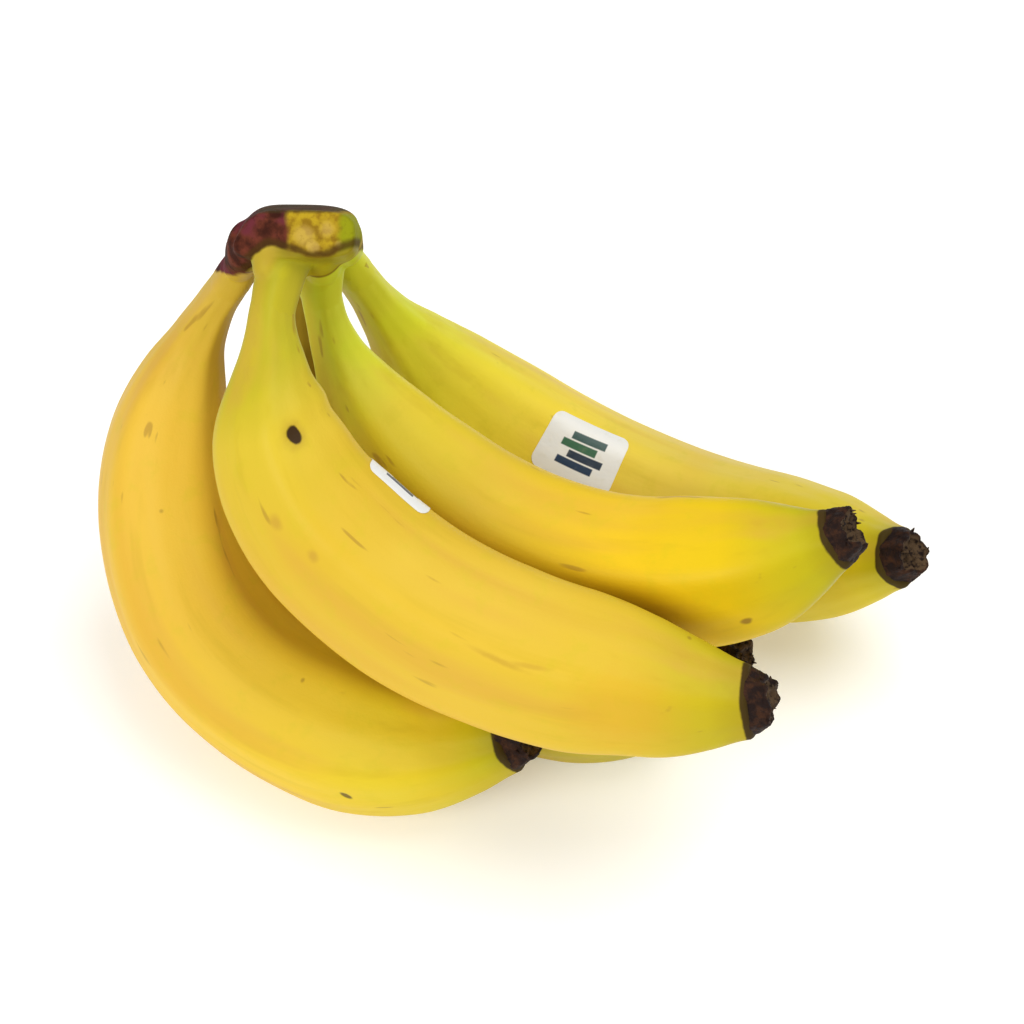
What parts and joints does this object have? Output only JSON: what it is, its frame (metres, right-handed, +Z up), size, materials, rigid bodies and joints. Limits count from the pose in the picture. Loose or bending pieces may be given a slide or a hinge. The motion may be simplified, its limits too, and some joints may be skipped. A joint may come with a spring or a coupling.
{
  "type": "bunch of bananas",
  "caption": "Hand of ripe yellow bananas joined at one cut crown, lying on the bellies of its lower fruits, with small paper labels.",
  "frame": {"origin": "middle of the bounding box, on the surface that the bunch lies on", "axes": "+Z up, +X from the crown towards the flower ends, -Y towards the fruit that lies in front"},
  "size_m": [0.1939, 0.1298, 0.1346],
  "materials": {
    "skin_left": "satin",
    "skin_front": "satin",
    "skin_middle": "satin",
    "skin_back": "satin",
    "skin_under": "satin",
    "crown": "rough, dried on one side",
    "flower_end": "dry and rough",
    "label": "satin paper"
  },
  "bodies": {
    "root": {"crown": "crown", "finger_left": "skin_left", "finger_front": "skin_front", "finger_middle": "skin_middle", "finger_back": "skin_back", "finger_under": "skin_under", "flower_end_left": "flower_end", "flower_end_front": "flower_end", "flower_end_middle": "flower_end", "flower_end_back": "flower_end", "flower_end_under": "flower_end", "label_back": "label", "label_front": "label"}
  },
  "joints": []
}
